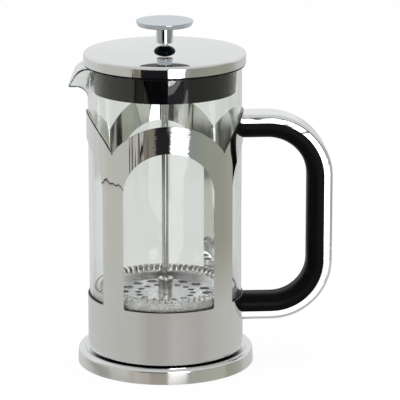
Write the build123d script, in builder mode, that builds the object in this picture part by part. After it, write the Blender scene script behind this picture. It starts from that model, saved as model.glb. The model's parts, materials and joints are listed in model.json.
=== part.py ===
from build123d import *
import math
import os

# A 1-litre french press, in millimetres.
# The origin is on the beaker's axis, on the surface that the press stands on.
# +Z is up, +X points at the handle and -X at the pouring lip.

# Clearances
seat_gap = 0.1
handle_gap = 0.05
thread_gap = 0.02
running_gap = 0.05
beaker_gap = 0.3
filter_gap = 0.5

# Base
base_overhang = 6.7
base_draft = 0.6
base_rim_height = 10.0
base_rim_width = 3.3
base_rim_slope = 1.6
base_recess = 1.0
base_wall = 0.8
base_bulge = 0.06
base_edge_lift = 0.4
base_crest_round = 2.2
base_rim_round = 0.9
pad_thickness = 2.0
pad_rim_width = 3.0
pad_boss_radius = 14.0

# Frame sleeve
sleeve_radius = 50.0
sleeve_wall = 0.8
sleeve_foot_round = 2.6
sleeve_floor_opening = 26.0
arch_top = 165.7
arch_rise = 20.5
arch_band = 17.3
valley_flat = 0.6
window_half_width = 28.6
window_corner_round = 1.5
lower_band = 36.3
lobe_half_angle = 45.0

# Glass beaker
seat_thickness = 1.5
seat_inner_radius = 30.0
seat_outer_radius = 42.0
beaker_height = 184.2
beaker_wall = 2.2
beaker_floor = 3.0
beaker_foot_round = 6.0
spout_reach = 12.7
spout_depth = 14.4
spout_half_angle = 41.0
spout_round = 5.0
spout_flare = 7.5
spout_lip_run = 6.8
spout_lip_round = 9.0
rim_round = 0.95

# Handle
handle_reach = 57.0
handle_top_drop = 2.1
handle_foot_drop = 17.3
handle_width = 20.0
handle_top_bend = 42.0
handle_bottom_bend = 39.0
shell_depth = 5.5
shell_wall = 1.2
shell_edge_round = 2.4
grip_depth = 10.5
grip_edge_round = 7.0
lug_length = 12.0
lug_width = 9.0
lug_height = 4.0
screw_reach = 7.0
screw_radius = 2.0
screw_head_radius = 3.4
screw_head_height = 1.6
screw_recess = 0.3

# Lid
lid_overhang = 2.7
lid_height = 6.8
lid_wall = 0.8
lid_round = 1.7
flange_thickness = 1.0
flange_inset = 0.5
skirt_depth = 16.5
skirt_wall = 1.8
skirt_gap = 0.6
skirt_taper = 1.0
deck_thickness = 2.0
boss_radius = 9.0
boss_depth = 8.0
strainer_slots = 7
strainer_pitch_angle = 5.0
strainer_slot_width = 2.2
strainer_slot_height = 9.0
bush_dome_radius = 6.85
bush_dome_height = 3.8
bush_shank_radius = 4.4
bush_nut_radius = 7.0
bush_nut_height = 3.0

# Plunger
rod_radius = 2.2
knob_rest_gap = 1.85
knob_stem_radius = 5.25
knob_stem_length = 11.05
knob_disc_radius = 18.46
knob_disc_thickness = 3.2
knob_disc_taper = 1.5
knob_edge_round = 0.5
knob_bore_depth = 8.5
rod_drop = 164.05
rod_end_length = 1.0
hub_radius = 4.7
hub_height = 10.0

# Filter
plate_thickness = 0.6
plate_rise = 4.1
plate_step_inset = 6.0
plate_step_width = 3.6
plate_rim_inset = 0.6
hole_ring_radii = (17.6, 26.9)
hole_radii = (2.2, 3.3)
hole_count = 16
hole_start_angle = 16.0
coil_turns = 64
coil_curl_radius = 3.5
coil_wire_radius = 0.6
coil_end_trim = 0.06
coil_samples_per_turn = 16
lacing_gap = 0.35
screen_thickness = 0.4
screen_rim_height = 7.2
screen_edge_round = 2.0
coil_gap = 0.25
cross_thickness = 0.8
cross_inset = 6.0
cross_rim_width = 5.0
cross_spoke_width = 8.0
cross_hub_radius = 9.0
nut_width = 8.0
nut_height = 3.5

# Levels that follow, upwards from the floor
base_radius = sleeve_radius + base_overhang
base_floor = base_rim_height - base_recess
sleeve_floor = base_floor + sleeve_wall
seat_top = sleeve_floor + seat_thickness
window_bottom = base_floor + lower_band
window_top = arch_top - arch_band
beaker_rim = seat_top + beaker_height
flange_top = beaker_rim + flange_thickness
lid_bottom = flange_top + seat_gap
lid_top = lid_bottom + lid_height
deck_top = lid_top - lid_wall - seat_gap
boss_bottom = deck_top - deck_thickness - boss_depth
bush_top = lid_top + bush_dome_height
stem_bottom = bush_top + knob_rest_gap
disc_bottom = stem_bottom + knob_stem_length
knob_top = disc_bottom + knob_disc_thickness
plate_top = stem_bottom - rod_drop
screen_top = plate_top - plate_thickness
cross_top = screen_top - screen_thickness
nut_top = cross_top - cross_thickness
rod_end = nut_top - nut_height - rod_end_length

# Radii that follow
beaker_radius = sleeve_radius - sleeve_wall - beaker_gap
beaker_inner_radius = beaker_radius - beaker_wall
lid_radius = beaker_radius + lid_overhang
skirt_radius = beaker_inner_radius - skirt_gap
screen_radius = beaker_inner_radius - filter_gap
coil_outer_radius = screen_radius - screen_thickness - coil_gap
coil_ring_radius = coil_outer_radius - coil_wire_radius - coil_curl_radius
coil_level = plate_top + plate_rise - plate_thickness / 2

# The handle's levels and its lug centres
handle_end = sleeve_radius + handle_reach
handle_top = arch_top - handle_top_drop
handle_bottom = window_bottom - handle_foot_drop
handle_depth = shell_depth + grip_depth
lug_depth = shell_depth + grip_depth / 2
lug_levels = (handle_top - lug_depth, handle_bottom + lug_depth)
screw_seats = (
    handle_top - handle_depth + screw_recess + screw_head_height,
    handle_bottom + shell_wall + screw_recess + screw_head_height,
)
screw_centre = sleeve_radius + screw_reach


def outline(*profile_points):
    """A closed face of (radius, height) points, to be turned about the axis."""
    with BuildSketch(Plane.XZ) as profile:
        with BuildLine():
            Polyline(*profile_points, close=True)
        make_face()
    return profile.sketch


# Base dish: a drawn foot with a slightly bulged wall, a round crest and a recessed floor
with BuildPart() as base_dish:
    rim_outer = base_radius - base_draft
    rim_inner = rim_outer - base_rim_width
    bulge_radius = (base_radius + rim_outer) / 2 + base_bulge
    dish_underside = base_floor - base_wall
    with BuildSketch(Plane.XZ) as base_profile:
        with BuildLine():
            bulge = ThreePointArc(
                (base_radius, base_edge_lift), (bulge_radius, base_rim_height / 2), (rim_outer, base_rim_height)
            )
            Polyline(
                bulge @ 1,
                (rim_inner, base_rim_height),
                (rim_inner - base_rim_slope, base_floor),
                (0, base_floor),
                (0, dish_underside),
                (rim_outer - base_wall, dish_underside),
                (base_radius - base_wall, base_edge_lift),
                bulge @ 0,
            )
        make_face()
        crest, inner_crest = base_profile.vertices().group_by(Axis.Y)[-1].sort_by(Axis.X, reverse=True)
        fillet(crest, base_crest_round)
        fillet(inner_crest, base_rim_round)
        under_crest = base_profile.vertices().filter_by_position(
            Axis.Y, dish_underside - base_wall / 4, dish_underside + base_wall / 4
        ).sort_by(Axis.X)[-1]
        fillet(under_crest, base_crest_round - base_wall)
    revolve(axis=Axis.Z)
base_dish.part.label = "base_dish"
export_step(base_dish.part, "parts/base_dish.step")

# Base pad: the non-slip plug inside the dish, which the press stands on
with BuildPart() as base_pad:
    pad_radius = base_radius - base_draft - base_wall - seat_gap
    pad_seat = base_floor - base_wall
    Cylinder(pad_radius, pad_seat, align=(Align.CENTER, Align.CENTER, Align.MIN))
    fillet(base_pad.edges().group_by(Axis.Z)[-1], base_crest_round - base_wall)
    with BuildSketch(Plane.XY.offset(pad_thickness)):
        Circle(pad_radius - pad_rim_width)
        Circle(pad_boss_radius, mode=Mode.SUBTRACT)
    extrude(amount=pad_seat - pad_thickness, mode=Mode.SUBTRACT)
base_pad.part.label = "base_pad"
export_step(base_pad.part, "parts/base_pad.step")

# Frame sleeve: a drawn cup with four arched windows and a scalloped top
with BuildPart() as frame_sleeve:
    sleeve_inner = sleeve_radius - sleeve_wall
    with BuildSketch(Plane.XZ) as cup_profile:
        with BuildLine():
            Polyline(
                (sleeve_floor_opening, base_floor),
                (sleeve_radius, base_floor),
                (sleeve_radius, arch_top),
                (sleeve_inner, arch_top),
                (sleeve_inner, sleeve_floor),
                (sleeve_floor_opening, sleeve_floor),
                close=True,
            )
        make_face()
        outer_foot = cup_profile.vertices().group_by(Axis.Y)[0].sort_by(Axis.X)[-1]
        fillet(outer_foot, sleeve_foot_round)
        inner_foot = cup_profile.vertices().filter_by_position(
            Axis.Y, sleeve_floor - sleeve_wall / 4, sleeve_floor + sleeve_wall / 4
        ).sort_by(Axis.X)[-1]
        fillet(inner_foot, sleeve_foot_round - sleeve_wall)
    revolve(axis=Axis.Z)
    lobe_half_width = sleeve_radius * math.sin(math.radians(lobe_half_angle))
    valley = arch_top - arch_rise
    trim_edge = lobe_half_width + valley_flat
    trim_top = arch_top + sleeve_wall
    window_spring = window_top - window_half_width
    for facing in (Plane.XZ, Plane.YZ):
        with BuildSketch(facing):
            with BuildLine():
                scallop = ThreePointArc((-lobe_half_width, valley), (0, arch_top), (lobe_half_width, valley))
                Polyline(
                    scallop @ 1,
                    (trim_edge, valley),
                    (trim_edge, trim_top),
                    (-trim_edge, trim_top),
                    (-trim_edge, valley),
                    scallop @ 0,
                )
            make_face()
        extrude(amount=sleeve_radius + sleeve_wall, both=True, mode=Mode.SUBTRACT)
        with BuildSketch(facing) as window:
            with BuildLine():
                crown = ThreePointArc(
                    (-window_half_width, window_spring), (0, window_top), (window_half_width, window_spring)
                )
                Polyline(
                    crown @ 1,
                    (window_half_width, window_bottom),
                    (-window_half_width, window_bottom),
                    crown @ 0,
                )
            make_face()
            fillet(window.vertices().group_by(Axis.Y)[0], window_corner_round)
        extrude(amount=sleeve_radius + sleeve_wall, both=True, mode=Mode.SUBTRACT)
frame_sleeve.part.label = "frame_sleeve"
export_step(frame_sleeve.part, "parts/frame_sleeve.step")

# Beaker seat: the soft ring that the glass stands on
with BuildPart() as beaker_seat:
    with BuildSketch(Plane.XY.offset(sleeve_floor)):
        Circle(seat_outer_radius)
        Circle(seat_inner_radius, mode=Mode.SUBTRACT)
    extrude(amount=seat_thickness)
beaker_seat.part.label = "beaker_seat"
export_step(beaker_seat.part, "parts/beaker_seat.step")


def beaker_form(radius, bottom, top, foot_round, inset, reach):
    """A filled beaker with its pouring channel, used for the outside and for the hollow.

    The channel is a round-bottomed V that runs out along -X, and inset moves its
    walls inwards from the outside of the glass. Its meeting edge with the round wall is flared.
    """
    channel_round = spout_round - inset
    half_angle = math.radians(spout_half_angle)
    channel_bottom = beaker_rim - spout_depth + inset
    apex = channel_bottom - channel_round * (1 / math.sin(half_angle) - 1)
    half_width = (top - apex) * math.tan(half_angle)
    with BuildPart() as form:
        with BuildSketch(Plane.XY.offset(bottom)):
            Circle(radius)
        extrude(amount=top - bottom)
        fillet(form.edges().group_by(Axis.Z)[0], foot_round)
        with BuildSketch(Plane.YZ) as channel:
            with BuildLine():
                Polyline((-half_width, top), (0, apex), (half_width, top), close=True)
            make_face()
            fillet(channel.vertices().group_by(Axis.Y)[0], channel_round)
        extrude(amount=-(radius + reach))
        meeting = form.edges().filter_by(
            lambda edge: all(
                abs(math.hypot((edge @ share).X, (edge @ share).Y) - radius) < 0.01 and (edge @ share).X < 0
                for share in (0.25, 0.5, 0.75)
            )
            and bottom + spout_depth < edge.center().Z < top - 0.01
        )
        fillet(meeting, spout_flare + inset)
    return form.part


# Glass beaker: outside less hollow, with the lip trimmed to fall away towards its tip and a melted rim
hollow_top = beaker_rim + beaker_wall
beaker_hollow = beaker_form(
    beaker_inner_radius, seat_top + beaker_floor, hollow_top,
    beaker_foot_round, beaker_wall, spout_reach * 2,
)
with BuildPart() as glass_beaker:
    spout_tip = beaker_radius + spout_reach
    add(
        beaker_form(
            beaker_radius, seat_top, beaker_rim, beaker_foot_round + beaker_wall, 0, spout_reach * 2
        )
    )
    with BuildSketch(Plane.XZ):
        with BuildLine():
            lip = FilletPolyline(
                (0, beaker_rim),
                (-spout_tip + spout_lip_run, beaker_rim),
                (-spout_tip, beaker_rim - spout_depth),
                (-spout_tip, beaker_rim - spout_depth - spout_round),
                radius=[spout_lip_round, 0],
            )
            Polyline(
                lip @ 1,
                (-spout_tip - spout_reach * 2, beaker_rim - spout_depth - spout_round),
                (-spout_tip - spout_reach * 2, hollow_top),
                (0, hollow_top),
                lip @ 0,
            )
        make_face()
    extrude(amount=beaker_radius, both=True, mode=Mode.SUBTRACT)
    add(beaker_hollow, mode=Mode.SUBTRACT)
    crown = glass_beaker.faces().filter_by(
        lambda face: face.normal_at().Z > 0.05
        and abs(face.normal_at().Y) < 0.01
        and face.center().Z > beaker_rim - spout_depth * 3 / 4
    )
    crown_edges = crown.edges()
    fillet([edge for edge in crown_edges if crown_edges.count(edge) == 1], rim_round)
glass_beaker.part.label = "glass_beaker"
export_step(glass_beaker.part, "parts/glass_beaker.step")


# The handle's centre-plane path along its outer face, and the plane across its upper end
handle_root = sleeve_radius / 2
with BuildLine() as handle_path:
    FilletPolyline(
        (handle_root, 0, handle_top),
        (handle_end, 0, handle_top),
        (handle_end, 0, handle_bottom),
        (handle_root, 0, handle_bottom),
        radius=[handle_top_bend, handle_bottom_bend],
    )
handle_start = Plane(origin=(handle_root, 0, handle_top), x_dir=(0, 1, 0), z_dir=(1, 0, 0))

# Handle shell: the bright outer channel, bent to a D
with BuildPart() as handle_shell:
    with BuildSketch(handle_start) as shell_section:
        with Locations((0, -shell_depth / 2)):
            Rectangle(handle_width, shell_depth)
        fillet(shell_section.vertices().group_by(Axis.Y)[-1], shell_edge_round)
        with Locations((0, -(shell_depth + shell_wall) / 2)):
            Rectangle(handle_width - 2 * shell_wall, shell_depth - shell_wall, mode=Mode.SUBTRACT)
    sweep(path=handle_path.line)
    Cylinder(
        sleeve_radius + handle_gap, arch_top, align=(Align.CENTER, Align.CENTER, Align.MIN), mode=Mode.SUBTRACT
    )
    with BuildSketch(Plane.XY.offset(handle_bottom - shell_wall)):
        with Locations((screw_centre, 0)):
            Circle(screw_head_radius + seat_gap)
    extrude(amount=shell_depth, mode=Mode.SUBTRACT)
handle_shell.part.label = "handle_shell"
export_step(handle_shell.part, "parts/handle_shell.step")

# Handle grip: the black inner half, with a tongue in the channel and a pocket for each lug
with BuildPart() as handle_grip:
    tongue_depth = shell_depth - shell_wall
    with BuildSketch(handle_start) as grip_section:
        with Locations((0, -(shell_depth + seat_gap + handle_depth) / 2)):
            Rectangle(handle_width, grip_depth - seat_gap)
        fillet(grip_section.vertices().group_by(Axis.Y)[0], grip_edge_round)
        with Locations((0, -(shell_wall + seat_gap + tongue_depth / 2))):
            Rectangle(handle_width - 2 * (shell_wall + seat_gap), tongue_depth)
    sweep(path=handle_path.line)
    Cylinder(
        sleeve_radius + handle_gap, arch_top, align=(Align.CENTER, Align.CENTER, Align.MIN), mode=Mode.SUBTRACT
    )
    for lug_level, screw_seat, entry_depth in zip(lug_levels, screw_seats, (handle_depth, shell_depth)):
        with BuildSketch(Plane.YZ.offset(sleeve_radius / 2)):
            with Locations((0, lug_level)):
                Rectangle(lug_width + 2 * seat_gap, lug_height + 2 * seat_gap)
        extrude(amount=sleeve_radius / 2 + lug_length + seat_gap, mode=Mode.SUBTRACT)
        with BuildSketch(Plane.XY.offset(screw_seat)):
            with Locations((screw_centre, 0)):
                Circle(screw_head_radius + seat_gap)
        extrude(amount=-entry_depth, mode=Mode.SUBTRACT)
        with BuildSketch(Plane.XY.offset(screw_seat)):
            with Locations((screw_centre, 0)):
                Circle(screw_radius + seat_gap)
        extrude(amount=lug_level - screw_seat, mode=Mode.SUBTRACT)
handle_grip.part.label = "handle_grip"
export_step(handle_grip.part, "parts/handle_grip.step")

# Lugs: steel tongues on the sleeve that carry the handle's ends
for lug_name, lug_level in zip(("upper_lug", "lower_lug"), lug_levels):
    with BuildPart() as lug:
        with BuildSketch(Plane.YZ.offset(sleeve_radius / 2)):
            with Locations((0, lug_level)):
                Rectangle(lug_width, lug_height)
        extrude(amount=sleeve_radius / 2 + lug_length)
        Cylinder(
            sleeve_radius + handle_gap,
            arch_top,
            align=(Align.CENTER, Align.CENTER, Align.MIN),
            mode=Mode.SUBTRACT,
        )
        with BuildSketch(Plane.XY.offset(lug_level - lug_height / 2)):
            with Locations((screw_centre, 0)):
                Circle(screw_radius + thread_gap)
        extrude(amount=lug_height, mode=Mode.SUBTRACT)
    lug.part.label = lug_name
    export_step(lug.part, f"parts/{lug_name}.step")

# Handle screws: both driven upwards, the upper one from the finger side
with BuildPart() as handle_screws:
    for lug_level, screw_seat in zip(lug_levels, screw_seats):
        with BuildSketch(Plane.XY.offset(screw_seat)):
            with Locations((screw_centre, 0)):
                Circle(screw_head_radius)
        extrude(amount=-screw_head_height)
        with BuildSketch(Plane.XY.offset(screw_seat)):
            with Locations((screw_centre, 0)):
                Circle(screw_radius)
        extrude(amount=lug_level + lug_height / 2 - screw_seat)
handle_screws.part.label = "handle_screws"
export_step(handle_screws.part, "parts/handle_screws.step")

# Lid cover: a shallow drawn cap
with BuildPart() as lid_cover:
    with BuildSketch(Plane.XZ) as cover_profile:
        with BuildLine():
            Polyline(
                (bush_shank_radius + seat_gap, lid_top),
                (lid_radius, lid_top),
                (lid_radius, lid_bottom),
                (lid_radius - lid_wall, lid_bottom),
                (lid_radius - lid_wall, lid_top - lid_wall),
                (bush_shank_radius + seat_gap, lid_top - lid_wall),
                close=True,
            )
        make_face()
        outer_corner = cover_profile.vertices().group_by(Axis.Y)[-1].sort_by(Axis.X)[-1]
        fillet(outer_corner, lid_round)
        inner_corner = cover_profile.vertices().filter_by_position(
            Axis.Y, lid_top - lid_wall * 5 / 4, lid_top - lid_wall * 3 / 4
        ).sort_by(Axis.X)[-1]
        fillet(inner_corner, lid_round - lid_wall)
    revolve(axis=Axis.Z)
lid_cover.part.label = "lid_cover"
export_step(lid_cover.part, "parts/lid_cover.step")

# Lid insert: the moulded ring that rests on the glass, with a strainer in its skirt
with BuildPart() as lid_insert:
    deck_radius = lid_radius - lid_round - lid_wall
    skirt_bottom = beaker_rim - skirt_depth
    skirt_foot_radius = skirt_radius - skirt_taper
    profile = outline(
        (bush_shank_radius + seat_gap, deck_top),
        (deck_radius, deck_top),
        (deck_radius, deck_top - deck_thickness),
        (skirt_radius, deck_top - deck_thickness),
        (skirt_radius, flange_top),
        (lid_radius - flange_inset, flange_top),
        (lid_radius - flange_inset, beaker_rim),
        (skirt_radius, beaker_rim),
        (skirt_foot_radius, skirt_bottom),
        (skirt_foot_radius - skirt_wall, skirt_bottom),
        (skirt_radius - skirt_wall, deck_top - deck_thickness),
        (boss_radius, deck_top - deck_thickness),
        (boss_radius, boss_bottom),
        (bush_shank_radius + seat_gap, boss_bottom),
    )
    revolve(profile, axis=Axis.Z)
    strainer_level = beaker_rim - skirt_depth / 2
    for slot in range(strainer_slots):
        turn = 180 + strainer_pitch_angle * (slot - (strainer_slots - 1) / 2)
        outward = (math.cos(math.radians(turn)), math.sin(math.radians(turn)), 0)
        with BuildSketch(Plane(origin=(0, 0, strainer_level), x_dir=(0, 0, 1), z_dir=outward)):
            SlotOverall(strainer_slot_height, strainer_slot_width)
        extrude(amount=beaker_radius, mode=Mode.SUBTRACT)
lid_insert.part.label = "lid_insert"
export_step(lid_insert.part, "parts/lid_insert.step")

# Rod bush: a domed guide through the lid
with BuildPart() as rod_bush:
    bush_bottom = boss_bottom - bush_nut_height - seat_gap
    with BuildSketch(Plane.XZ):
        with BuildLine():
            dome = EllipticalCenterArc((0, lid_top), bush_dome_radius, bush_dome_height, 0, arc_size=90)
            Polyline(
                dome @ 1,
                (0, bush_bottom),
                (bush_shank_radius, bush_bottom),
                (bush_shank_radius, lid_top),
                dome @ 0,
            )
        make_face()
    revolve(axis=Axis.Z)
    with BuildSketch(Plane.XY.offset(bush_bottom)):
        Circle(rod_radius + running_gap)
    extrude(amount=bush_top - bush_bottom, mode=Mode.SUBTRACT)
rod_bush.part.label = "rod_bush"
export_step(rod_bush.part, "parts/rod_bush.step")

# Bush nut: holds cover, insert and bush together from below
with BuildPart() as bush_nut:
    with BuildSketch(Plane.XY.offset(boss_bottom)):
        RegularPolygon(bush_nut_radius, 6)
        Circle(bush_shank_radius + thread_gap, mode=Mode.SUBTRACT)
    extrude(amount=-bush_nut_height)
bush_nut.part.label = "bush_nut"
export_step(bush_nut.part, "parts/bush_nut.step")

# Plunger knob: a flat disc with a tapered edge on a round stem
with BuildPart() as plunger_knob:
    rod_top = stem_bottom + knob_bore_depth
    profile = outline(
        (0, knob_top),
        (knob_disc_radius, knob_top),
        (knob_disc_radius - knob_disc_taper, disc_bottom),
        (knob_stem_radius, disc_bottom),
        (knob_stem_radius, stem_bottom),
        (rod_radius + thread_gap, stem_bottom),
        (rod_radius + thread_gap, rod_top),
        (0, rod_top),
    )
    revolve(profile, axis=Axis.Z)
    outer_rings = plunger_knob.edges().filter_by(GeomType.CIRCLE).sort_by(SortBy.RADIUS)[-2:]
    fillet(outer_rings, knob_edge_round)
    stem_ring = plunger_knob.edges().group_by(Axis.Z)[0].sort_by(SortBy.RADIUS)[-1]
    fillet(stem_ring, knob_edge_round)
plunger_knob.part.label = "plunger_knob"
export_step(plunger_knob.part, "parts/plunger_knob.step")

# Plunger rod
with BuildPart() as plunger_rod:
    with BuildSketch(Plane.XY.offset(rod_end)):
        Circle(rod_radius)
    extrude(amount=rod_top - seat_gap - rod_end)
    chamfer(plunger_rod.edges().group_by(Axis.Z)[0], rod_end_length / 2)
plunger_rod.part.label = "plunger_rod"
export_step(plunger_rod.part, "parts/plunger_rod.step")

# Rod hub: the collar that the filter is clamped against
with BuildPart() as rod_hub:
    with BuildSketch(Plane.XY.offset(plate_top)):
        Circle(hub_radius)
        Circle(rod_radius + thread_gap, mode=Mode.SUBTRACT)
    extrude(amount=hub_height)
    hub_rings = rod_hub.edges().filter_by(GeomType.CIRCLE).sort_by(SortBy.RADIUS)[-2:]
    fillet(hub_rings, knob_edge_round)
rod_hub.part.label = "rod_hub"
export_step(rod_hub.part, "parts/rod_hub.step")

# Spiral plate: a pressed disc with two rings of holes, and a raised rim that the coil is laced through
with BuildPart() as spiral_plate:
    rim_edge = coil_ring_radius - plate_rim_inset
    step_foot = rim_edge - plate_step_inset - plate_step_width
    step_head = step_foot + plate_step_width
    rim_top = plate_top + plate_rise
    profile = outline(
        (rod_radius + thread_gap, plate_top),
        (step_foot, plate_top),
        (step_head, rim_top),
        (rim_edge, rim_top),
        (rim_edge, rim_top - plate_thickness),
        (step_head + plate_thickness / 2, rim_top - plate_thickness),
        (step_foot + plate_thickness / 2, plate_top - plate_thickness),
        (rod_radius + thread_gap, plate_top - plate_thickness),
    )
    revolve(profile, axis=Axis.Z)
    for ring_radius, hole_radius in zip(hole_ring_radii, hole_radii):
        with BuildSketch(Plane.XY.offset(plate_top)):
            with PolarLocations(ring_radius, hole_count, start_angle=hole_start_angle):
                Circle(hole_radius)
        extrude(amount=-plate_thickness, mode=Mode.SUBTRACT)
    with BuildSketch(Plane.XY.offset(rim_top)):
        with PolarLocations(coil_ring_radius - coil_curl_radius, coil_turns, start_angle=180 / coil_turns):
            Circle(coil_wire_radius + lacing_gap)
    extrude(amount=-plate_thickness, mode=Mode.SUBTRACT)
spiral_plate.part.label = "spiral_plate"
export_step(spiral_plate.part, "parts/spiral_plate.step")


def coil_point(turn):
    """The wire's centre after a number of curls: a helix bent round into a ring."""
    curl = 2 * math.pi * turn
    along = curl / coil_turns
    reach = coil_ring_radius + coil_curl_radius * math.cos(curl)
    height = coil_level + coil_curl_radius * math.sin(curl)
    return Vector(reach * math.cos(along), reach * math.sin(along), height)


def coil_direction(turn):
    """The unit tangent of the wire's centre line."""
    nudge = 0.0001
    return (coil_point(turn + nudge) - coil_point(turn - nudge)).normalized()


def biarc_joint(start, end, start_direction, end_direction):
    """The joint of two tangent arcs between two points, and the shared tangent there."""
    chord = end - start
    both = start_direction + end_direction
    spread = 2 * (1 - start_direction.dot(end_direction))
    lean = chord.dot(both)
    arm = (math.sqrt(lean * lean + spread * chord.dot(chord)) - lean) / spread
    joint = (start + end + (start_direction - end_direction) * arm) * 0.5
    across = (end - end_direction * arm) - (start + start_direction * arm)
    return joint, across.normalized()


# Edge coil: one unbroken wire, laced through the plate's rim once in each curl
coil_start = coil_end_trim
coil_stop = coil_turns - coil_end_trim
half_curls = 2 * coil_turns
curl_marks = [coil_start + (coil_stop - coil_start) * mark / half_curls for mark in range(half_curls + 1)]
with BuildPart() as edge_coil:
    with BuildLine() as coil_path:
        for curl_start, curl_end in zip(curl_marks, curl_marks[1:]):
            from_point = coil_point(curl_start)
            to_point = coil_point(curl_end)
            from_direction = coil_direction(curl_start)
            joint_point, joint_direction = biarc_joint(
                from_point, to_point, from_direction, coil_direction(curl_end)
            )
            TangentArc(from_point, joint_point, tangent=from_direction)
            TangentArc(joint_point, to_point, tangent=joint_direction)
    with BuildSketch(Plane(origin=coil_point(coil_start), z_dir=coil_direction(coil_start))):
        Circle(coil_wire_radius)
    sweep()
edge_coil.part.label = "edge_coil"
export_step(edge_coil.part, "parts/edge_coil.step")

# The coil's least gap to itself, on points along its centre line
sample_count = coil_turns * coil_samples_per_turn
coil_samples = [
    tuple(coil_point(coil_start + (coil_stop - coil_start) * sample / sample_count))
    for sample in range(sample_count + 1)
]
least_gap = min(
    math.dist(coil_samples[first], coil_samples[second])
    for first in range(sample_count + 1)
    for second in range(first + coil_samples_per_turn // 2, sample_count + 1)
) - 2 * coil_wire_radius
print(f"edge coil: {coil_turns} curls, least gap to itself {least_gap:.2f} mm")

# Mesh screen: a fine woven disc with a turned-up rim that rides along the glass
with BuildPart() as mesh_screen:
    with BuildSketch(Plane.XZ) as screen_profile:
        with BuildLine():
            Polyline(
                (rod_radius + thread_gap, cross_top),
                (screen_radius, cross_top),
                (screen_radius, cross_top + screen_rim_height),
                (screen_radius - screen_thickness, cross_top + screen_rim_height),
                (screen_radius - screen_thickness, screen_top),
                (rod_radius + thread_gap, screen_top),
                close=True,
            )
        make_face()
        lower_corner = screen_profile.vertices().group_by(Axis.Y)[0].sort_by(Axis.X)[-1]
        fillet(lower_corner, screen_edge_round)
        upper_corner = screen_profile.vertices().filter_by_position(
            Axis.Y, screen_top - screen_thickness / 4, screen_top + screen_thickness / 4
        ).sort_by(Axis.X)[-1]
        fillet(upper_corner, screen_edge_round - screen_thickness)
    revolve(axis=Axis.Z)
mesh_screen.part.label = "mesh_screen"
export_step(mesh_screen.part, "parts/mesh_screen.step")

# Cross plate: backs the screen from below, open in four quarters
with BuildPart() as cross_plate:
    cross_radius = screen_radius - cross_inset
    with BuildSketch(Plane.XY.offset(cross_top)):
        Circle(cross_radius)
        Circle(rod_radius + thread_gap, mode=Mode.SUBTRACT)
        with BuildSketch(mode=Mode.SUBTRACT):
            Circle(cross_radius - cross_rim_width)
            Circle(cross_hub_radius, mode=Mode.SUBTRACT)
            Rectangle(2 * cross_radius, cross_spoke_width, mode=Mode.SUBTRACT)
            Rectangle(cross_spoke_width, 2 * cross_radius, mode=Mode.SUBTRACT)
    extrude(amount=-cross_thickness)
cross_plate.part.label = "cross_plate"
export_step(cross_plate.part, "parts/cross_plate.step")

# Clamp nut: closes the filter's stack at the rod's end
with BuildPart() as clamp_nut:
    with BuildSketch(Plane.XY.offset(nut_top)):
        RegularPolygon(nut_width / 2, 6, major_radius=False)
        Circle(rod_radius + thread_gap, mode=Mode.SUBTRACT)
    extrude(amount=-nut_height)
clamp_nut.part.label = "clamp_nut"
export_step(clamp_nut.part, "parts/clamp_nut.step")
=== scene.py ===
"""Looks of the french press: finishes, wire work, small hardware and the studio around it.

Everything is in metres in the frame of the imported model: +Z is up, +X points at the handle, -X at
the pouring lip and -Y to the front.
"""
from __future__ import annotations

import json
import logging
import math
from dataclasses import dataclass, replace
from enum import Enum
from typing import Any

import bmesh
import bpy
from mathutils import Matrix, Vector

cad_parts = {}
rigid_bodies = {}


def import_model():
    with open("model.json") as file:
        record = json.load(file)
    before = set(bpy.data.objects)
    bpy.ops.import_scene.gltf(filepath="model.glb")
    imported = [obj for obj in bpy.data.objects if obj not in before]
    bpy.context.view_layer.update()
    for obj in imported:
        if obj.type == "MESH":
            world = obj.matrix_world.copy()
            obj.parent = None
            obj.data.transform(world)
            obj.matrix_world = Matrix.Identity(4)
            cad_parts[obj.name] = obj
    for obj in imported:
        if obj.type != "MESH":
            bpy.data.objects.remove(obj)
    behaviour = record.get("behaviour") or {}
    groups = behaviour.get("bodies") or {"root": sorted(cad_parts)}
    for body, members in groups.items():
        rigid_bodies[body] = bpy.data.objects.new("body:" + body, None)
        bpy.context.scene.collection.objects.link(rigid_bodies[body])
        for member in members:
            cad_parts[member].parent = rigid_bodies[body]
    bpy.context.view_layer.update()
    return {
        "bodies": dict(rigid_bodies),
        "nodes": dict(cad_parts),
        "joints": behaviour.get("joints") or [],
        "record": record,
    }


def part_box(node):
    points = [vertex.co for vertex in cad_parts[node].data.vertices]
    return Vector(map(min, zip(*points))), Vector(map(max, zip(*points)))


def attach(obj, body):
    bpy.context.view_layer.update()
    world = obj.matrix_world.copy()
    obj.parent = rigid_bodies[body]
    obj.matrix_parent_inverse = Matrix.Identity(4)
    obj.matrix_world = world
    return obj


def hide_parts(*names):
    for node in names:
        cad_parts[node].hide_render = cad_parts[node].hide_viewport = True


LOG = logging.getLogger("french_press")
Colour = tuple[float, float, float]
Point = tuple[float, float, float]
Span = tuple[float, float]

# Where the front half of the piece starts, along Y, in metres.
FRONT: Span = (0.01, -0.01)
# The roughness that the groove's painted shade or a sheared edge adds.
DULLED: float = 0.3


def millimetres(value: float) -> float:
    """A length given in millimetres, in metres."""
    return value / 1000.0


def opaque(colour: Colour) -> tuple[float, float, float, float]:
    """The colour with full alpha, as colour sockets take it."""
    return (*colour, 1.0)


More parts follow.
